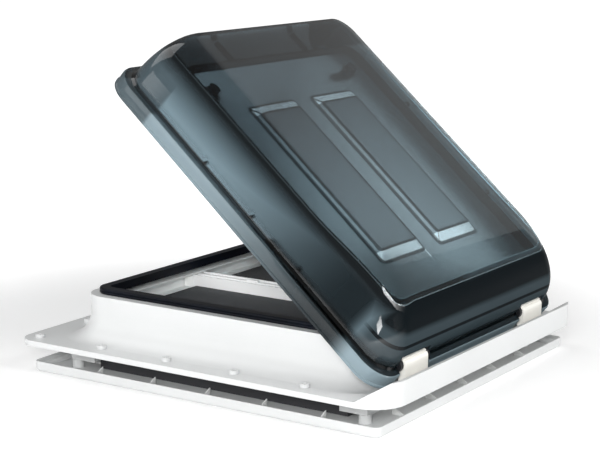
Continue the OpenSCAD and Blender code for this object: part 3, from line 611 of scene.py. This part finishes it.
def open_sheet(obj, test):
    """Deletes the faces that pass a test and points the others outwards."""
    pick_faces(obj, test)
    bpy.ops.mesh.delete(type="FACE")
    bpy.ops.mesh.select_all(action="SELECT")
    bpy.ops.mesh.normals_make_consistent(inside=False)
    bpy.ops.object.mode_set(mode="OBJECT")


def cut_faces(obj, test, planes):
    """Cuts the faces that pass a test along planes, each a point and a normal."""
    for place, normal in planes:
        pick_faces(obj, test)
        bpy.ops.mesh.bisect(plane_co=place, plane_no=normal)
        bpy.ops.object.mode_set(mode="OBJECT")


def apply_modifier(obj, kind, **settings):
    """Adds a modifier with its settings and applies it."""
    made = obj.modifiers.new(kind.lower(), kind)
    for key, value in settings.items():
        setattr(made, key, value)
    bpy.context.view_layer.objects.active = obj
    bpy.ops.object.modifier_apply(modifier=made.name)


def settle(obj, matrix, angle):
    """Puts a finished mesh in its place and shades it smooth up to an angle in degrees."""
    select_only(obj)
    obj.matrix_world = matrix
    apply_place()
    bpy.ops.object.shade_smooth_by_angle(angle=math.radians(angle))


def wall_level(sizes, lean, inset):
    """Width, length and middle of the dome wall at a point of its quarter-ellipse curve."""
    curl = 1.0 - math.cos(lean)
    width = sizes.lip_width - 2 * (sizes.step_width + inset + sizes.side_curve * curl)
    low = sizes.step_width + inset + sizes.hinge_curve * curl - sizes.lip_hinge
    high = sizes.lip_free - sizes.step_width - inset - sizes.free_curve * curl
    return width, high - low, (low + high) / 2


class VENT_OT_shell_parts(bpy.types.Operator):
    """Finishes the outer frame, ceiling trim and seal"""

    bl_idname = "vent.shell_parts"
    bl_label = "Frame, trim and seal"

    def execute(self, context):
        colours = context.scene.vent_colours
        white = moulded_plastic("white_plastic", tuple(colours.white))
        wear(white, "outer_frame", "ceiling_trim", "trim_screw_caps")
        wear(rubber("seal_rubber", tuple(colours.rubber)), "frame_seal")
        return {"FINISHED"}


class VENT_OT_trim_fins(bpy.types.Operator):
    """Models the fins that stand in the ceiling trim's tray, in line with its gussets"""

    bl_idname = "vent.trim_fins"
    bl_label = "Trim fins"

    def execute(self, context):
        s = context.scene.vent_sizes
        fins = self.fin(s)
        shift = (0.0, s.fin_pitch, 0.0)
        apply_modifier(
            fins, "ARRAY", count=FIN_COUNT, use_relative_offset=False, use_constant_offset=True,
            constant_offset_displace=shift,
        )
        sides = [fins] + [self.turned(fins, turn) for turn in (90, 180, 270)]
        select_only(*sides)
        bpy.ops.object.join()
        settle(fins, Matrix.Identity(4), angle=30)
        dress(fins, bpy.data.materials["white_plastic"], "white_plastic", "root")
        return {"FINISHED"}

    def fin(self, s):
        """The first fin of one side, with a sloping top and soft edges."""
        low = CAD_BOX[0][2] + s.fin_floor
        first = -(FIN_COUNT - 1) / 2 * s.fin_pitch
        place = (s.fin_inner + s.fin_length / 2, first, low + s.fin_height / 2)
        size = (s.fin_length, s.fin_thick, s.fin_height)
        obj = new_piece("trim_fins", bpy.ops.mesh.primitive_cube_add, place, size)
        bpy.ops.object.mode_set(mode="EDIT")
        bpy.ops.mesh.select_all(action="SELECT")
        top = (s.fin_inner, 0.0, low + s.fin_height)
        slope = Vector((s.fin_height * FIN_FALL, 0.0, s.fin_length)).normalized()
        bpy.ops.mesh.bisect(plane_co=top, plane_no=slope, use_fill=True, clear_outer=True)
        bpy.ops.mesh.select_all(action="SELECT")
        bpy.ops.mesh.remove_doubles(threshold=FIN_MERGE)
        bpy.ops.mesh.bevel(offset=FIN_EDGE, affect="EDGES", segments=2)
        bpy.ops.object.mode_set(mode="OBJECT")
        return obj

    def turned(self, fins, turn):
        """A copy of one side's fins, turned to another side."""
        select_only(fins)
        bpy.ops.object.duplicate()
        side = bpy.context.active_object
        side.rotation_euler.z = math.radians(turn)
        apply_place()
        return side


class VENT_OT_hinges(bpy.types.Operator):
    """Finishes the hinge brackets, leaves, bushes, pins and screws"""

    bl_idname = "vent.hinges"
    bl_label = "Hinges and fasteners"

    def execute(self, context):
        colours = context.scene.vent_colours
        black = moulded_plastic("black_plastic", tuple(colours.black), roughness=0.42, edge=0.0005, shine=0.2)
        cream = moulded_plastic("cream_plastic", tuple(colours.cream), roughness=0.36)
        steel = metal("plated_steel", tuple(colours.steel), stretch=(0.2, 3.0, 3.0))
        wear(cream, "hinge_bracket_left", "hinge_bracket_right")
        wear(black, "hinge_leaf_left", "hinge_leaf_right", "hinge_bush_left", "hinge_bush_right")
        wear(steel, "hinge_pin_left", "hinge_pin_right")
        wear(steel, "bracket_screws", "trim_screws", "duct_screws", "latch_screws")
        return {"FINISHED"}


class VENT_OT_dome(bpy.types.Operator):
    """Models the smoked dome with its lip, step, curved walls and hinge notches"""

    bl_idname = "vent.dome"
    bl_label = "Smoked dome"

    def execute(self, context):
        s = context.scene.vent_sizes
        step = HINGE_AT.z
        foot = step - s.lip_height
        long, middle = s.lip_hinge + s.lip_free, (s.lip_free - s.lip_hinge) / 2
        obj, ring = new_plate("smoked_dome", s.lip_width, long, s.lip_radius, middle, foot)
        levels = [(inset, foot + rise) for inset, rise in LIP_BEAD]
        levels += [(inset, step - depth) for inset, depth in LIP_ROUND]
        for inset, z in levels:
            lift(ring, s.lip_width - 2 * inset, long - 2 * inset, middle, z)
        lift(ring, *wall_level(s, 0.0, -WALL_FLARE), step + WALL_LIFT)
        for lean in WALL_LEANS:
            angle = math.radians(lean)
            lift(ring, *wall_level(s, angle, 0.0), step + s.crown_rise * math.sin(angle))
        bpy.ops.object.mode_set(mode="OBJECT")
        open_sheet(obj, lambda face: face.center.z < foot + SAME_LEVEL and abs(face.normal.z) > LEVEL_NORMAL)
        for hinge in ("hinge_bracket_left", "hinge_bracket_right"):
            low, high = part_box(hinge)
            self.notch(obj, s, (low.x + high.x) / 2)
        apply_modifier(obj, "SOLIDIFY", thickness=s.shell, offset=-1.0, use_even_offset=True)
        settle(obj, SWING, angle=32)
        finish = smoked_acrylic("smoked_acrylic", context.scene.vent_colours)
        dress(obj, finish, "smoked_acrylic", "dome", "dome_shell")
        return {"FINISHED"}

    def notch(self, obj, s, middle):
        """Cuts the notch for one hinge out of the open sheet."""
        half = s.notch_width / 2
        top, reach = HINGE_AT.z + s.notch_height, HINGE_AT.y + s.notch_depth
        planes = [((middle + side * half, 0, 0), (1, 0, 0)) for side in (-1, 1)]
        planes.append(((0, 0, top), (0, 0, 1)))

        def behind(face):
            return face.center.y < reach

        def within(face):
            return behind(face) and abs(face.center.x - middle) < half and face.center.z < top

        cut_faces(obj, behind, planes)
        pick_faces(obj, within)
        bpy.ops.mesh.delete(type="FACE")
        bpy.ops.object.mode_set(mode="OBJECT")


class VENT_OT_pane(bpy.types.Operator):
    """Models the inner pane: a shallow tray with an upright edge and two raised fields"""

    bl_idname = "vent.pane"
    bl_label = "Inner pane"

    def execute(self, context):
        s = context.scene.vent_sizes
        flat, rim = s.pane_level, s.pane_level + s.pane_edge
        obj, ring = new_plate("inner_pane_skin", s.pane_width, s.pane_width, s.pane_radius, 0.0, rim)
        lift(ring, s.pane_width, s.pane_width, 0.0, flat)
        bpy.ops.object.mode_set(mode="OBJECT")
        open_sheet(obj, lambda face: abs(face.center.z - rim) < SAME_LEVEL)
        edge = s.field_gap / 2
        sides = (-edge - s.field_width, -edge, edge, edge + s.field_width)
        ends = (-s.field_length / 2, s.field_length / 2)
        planes = [((x, 0.0, flat), (1.0, 0.0, 0.0)) for x in sides]
        planes += [((0.0, y, flat), (0.0, 1.0, 0.0)) for y in ends]
        cut_faces(obj, lambda face: abs(face.center.z - flat) < SAME_LEVEL, planes)
        rise = Vector((0.0, 0.0, s.field_rise))
        scale = (1 - 2 * s.field_slope / s.field_width, 1 - 2 * s.field_end / s.field_length, 1.0)
        for side in (-1, 1):
            centre = Vector((side * (edge + s.field_width / 2), 0.0, flat))
            pick_faces(obj, lambda face: (face.center - centre).length < FIELD_FIND)
            bpy.ops.mesh.extrude_region_move(TRANSFORM_OT_translate={"value": rise})
            bpy.ops.transform.resize(value=scale, center_override=centre + rise)
            bpy.ops.mesh.select_all(action="SELECT")
            bpy.ops.mesh.remove_doubles(threshold=FIELD_MERGE)
            bpy.ops.object.mode_set(mode="OBJECT")
        bend = math.radians(20)
        apply_modifier(obj, "BEVEL", width=FIELD_EDGE, segments=3, limit_method="ANGLE", angle_limit=bend)
        apply_modifier(obj, "SOLIDIFY", thickness=s.pane, offset=-1.0, use_even_offset=True)
        settle(obj, SWING, angle=40)
        finish = clear_acrylic("clear_acrylic", context.scene.vent_colours, s)
        dress(obj, finish, "clear_acrylic", "dome", "inner_pane")
        return {"FINISHED"}


class VENT_OT_dome_fittings(bpy.types.Operator):
    """Finishes the spacers, clips and latches in the dome"""

    bl_idname = "vent.dome_fittings"
    bl_label = "Spacers, clips and latches"

    def execute(self, context):
        black = bpy.data.materials["black_plastic"]
        wear(black, "pane_spacers", "lip_clips")
        wear(black, "latch_base_left", "latch_base_right", "latch_lever_left", "latch_lever_right")
        return {"FINISHED"}


class VENT_OT_blinds(bpy.types.Operator):
    """Models both blind cloths and finishes the rest of the blinds"""

    bl_idname = "vent.blinds"
    bl_label = "Blinds"

    def execute(self, context):
        colours = context.scene.vent_colours
        pale = moulded_plastic("pale_plastic", tuple(colours.pale), roughness=0.45)
        white = moulded_plastic("bar_plastic", tuple(colours.bar), roughness=0.45)
        black = bpy.data.materials["black_plastic"]
        steel = bpy.data.materials["plated_steel"]
        tube = metal("aluminium_tube", tuple(colours.aluminium), stretch=(3.0, 0.2, 3.0))
        wear(pale, "guide_rail_hinge_side", "guide_rail_free_side")
        wear(pale, "screen_bar_glides", "blackout_bar_glides")
        wear(white, "screen_pull_bar", "blackout_pull_bar", "bar_catch")
        wear(black, "screen_cassette", "blackout_cassette", "cassette_end_caps")
        wear(black, "screen_roller_plugs", "blackout_roller_plugs")
        wear(steel, "roller_axles", "screen_roller_spring", "blackout_roller_spring")
        wear(tube, "screen_roller", "blackout_roller")
        screen = blind_cloth("screen_weave", tuple(colours.screen), SCREEN_WEAVE)
        self.cloth("screen", "screen_slide", screen)
        blackout = blind_cloth("blackout_weave", tuple(colours.blackout), BLACKOUT_WEAVE)
        self.cloth("blackout", "blackout_slide", blackout)
        return {"FINISHED"}

    def cloth(self, blind, joint, material):
        """A stretched sheet from the roller to its bar, with faint waves across it."""
        node = blind + "_cloth"
        low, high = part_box(node)
        size = high - low
        grid = bpy.ops.mesh.primitive_grid_add
        obj = new_piece(blind + "_sheet", grid, (low + high) / 2, (size.x, size.y, 1.0), **CLOTH_FACES)
        ripple = bpy.data.textures.new(blind + "_ripple", "CLOUDS")
        ripple.noise_scale = CLOTH_WAVE_LENGTH
        apply_modifier(obj, "DISPLACE", texture=ripple, strength=CLOTH_WAVE, mid_level=0.5, direction="Z")
        apply_modifier(obj, "SOLIDIFY", thickness=CLOTH_THICK, offset=0.0)
        settle(obj, Matrix.Identity(4), angle=40)
        wear(material, blind + "_cloth_roll")
        dress(obj, material, blind + "_fabric", "root", node)
        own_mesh(obj)


class VENT_OT_stage(bpy.types.Operator):
    """Sets the floor, the soft lights and the camera"""

    bl_idname = "vent.stage"
    bl_label = "Studio"

    def execute(self, context):
        scene = context.scene
        floor_z = CAD_BOX[0].z
        bpy.ops.object.select_all(action="DESELECT")
        bpy.ops.mesh.primitive_plane_add(size=FLOOR_SIDE, location=(0.0, 0.0, floor_z))
        floor = context.active_object
        floor.name = "studio_floor"
        paper = Finish("studio_paper", **{"Roughness": 0.8, "Emission Strength": 1.0})
        far = paper.node("ShaderNodeVectorMath", {"operation": "LENGTH"}, {0: paper.coords}, "Value")
        glow = paper.mix(far.smooth(*GLOW_AWAY), GLOW_NEAR, GLOW_FAR)
        tone = tuple(scene.vent_colours.floor)
        sheet = paper.mix(paper.noise(scale=3.0), shaded(tone, 0.985), tone)
        paper.feed({"Base Color": sheet, "Emission Color": glow})
        floor.data.materials.append(paper.material)
        world = bpy.data.worlds.new("studio_air")
        world.use_nodes = True
        air = world.node_tree.nodes["Background"].inputs
        air["Color"].default_value = (1.0, 1.0, 1.0, 1.0)
        air["Strength"].default_value = AIR_LIGHT
        scene.world = world
        for row in SOFTBOXES:
            self.softbox(*row)
        self.camera()
        scene.view_settings.view_transform = "Standard"
        return {"FINISHED"}

    def softbox(self, name, place, target, width, height, power, along):
        """A soft light that faces its target, with its width along a direction."""
        lamp = bpy.data.lights.new(name, "AREA")
        lamp.shape, lamp.size, lamp.size_y, lamp.energy = "RECTANGLE", width, height, power
        obj = bpy.data.objects.new(name, lamp)
        bpy.context.scene.collection.objects.link(obj)
        obj.location = place
        out = (Vector(place) - Vector(target)).normalized()
        side = Vector(along) - out * out.dot(Vector(along))
        side.normalize()
        obj.rotation_euler = Matrix((side, out.cross(side), out)).transposed().to_euler()

    def camera(self):
        """The photograph's view: place, direction, roll and lens."""
        yaw, pitch, roll = (math.radians(turn) for turn in (CAMERA_YAW, CAMERA_PITCH, CAMERA_ROLL))
        level = math.cos(pitch)
        forward = Vector((level * math.cos(yaw), level * math.sin(yaw), -math.sin(pitch)))
        right = Vector((math.sin(yaw), -math.cos(yaw), 0.0))
        up = right.cross(forward)
        across = right * math.cos(roll) + up * math.sin(roll)
        upward = up * math.cos(roll) - right * math.sin(roll)
        lens = bpy.data.cameras.new("camera")
        lens.sensor_width = SENSOR_MM
        lens.lens = SENSOR_MM * FOCAL_PIXELS / PHOTO_PIXELS
        lens.clip_start, lens.clip_end = CAMERA_NEAR, CAMERA_FAR
        obj = bpy.data.objects.new("camera", lens)
        bpy.context.scene.collection.objects.link(obj)
        turn = Matrix((across, upward, -forward)).transposed().to_4x4()
        obj.matrix_world = Matrix.Translation(CAMERA_AT) @ turn
        bpy.context.scene.camera = obj


class VENT_PT_panel(bpy.types.Panel):
    """Lists the vent's pieces, sizes and colours"""

    bl_label = "Roof vent"
    bl_space_type = "VIEW_3D"
    bl_region_type = "UI"
    bl_category = "Roof vent"

    def draw(self, context):
        for operator in OPERATORS:
            self.layout.operator(operator.bl_idname)
        for group in (context.scene.vent_sizes, context.scene.vent_colours):
            box = self.layout.box()
            for key in group.__annotations__:
                box.prop(group, key)


OPERATORS = (
    VENT_OT_shell_parts, VENT_OT_trim_fins, VENT_OT_hinges, VENT_OT_dome,
    VENT_OT_pane, VENT_OT_dome_fittings, VENT_OT_blinds, VENT_OT_stage,
)
CLASSES = (VentSizes, VentColours, *OPERATORS, VENT_PT_panel)


def register():
    for cls in CLASSES:
        bpy.utils.register_class(cls)
    bpy.types.Scene.vent_sizes = PointerProperty(type=VentSizes)
    bpy.types.Scene.vent_colours = PointerProperty(type=VentColours)


def unregister():
    del bpy.types.Scene.vent_colours
    del bpy.types.Scene.vent_sizes
    for cls in reversed(CLASSES):
        bpy.utils.unregister_class(cls)


def main():
    register()
    bpy.ops.vent.shell_parts()
    bpy.ops.vent.trim_fins()
    bpy.ops.vent.hinges()
    bpy.ops.vent.dome()
    bpy.ops.vent.pane()
    bpy.ops.vent.dome_fittings()
    bpy.ops.vent.blinds()
    bpy.ops.vent.stage()


if __name__ == "__main__":
    main()
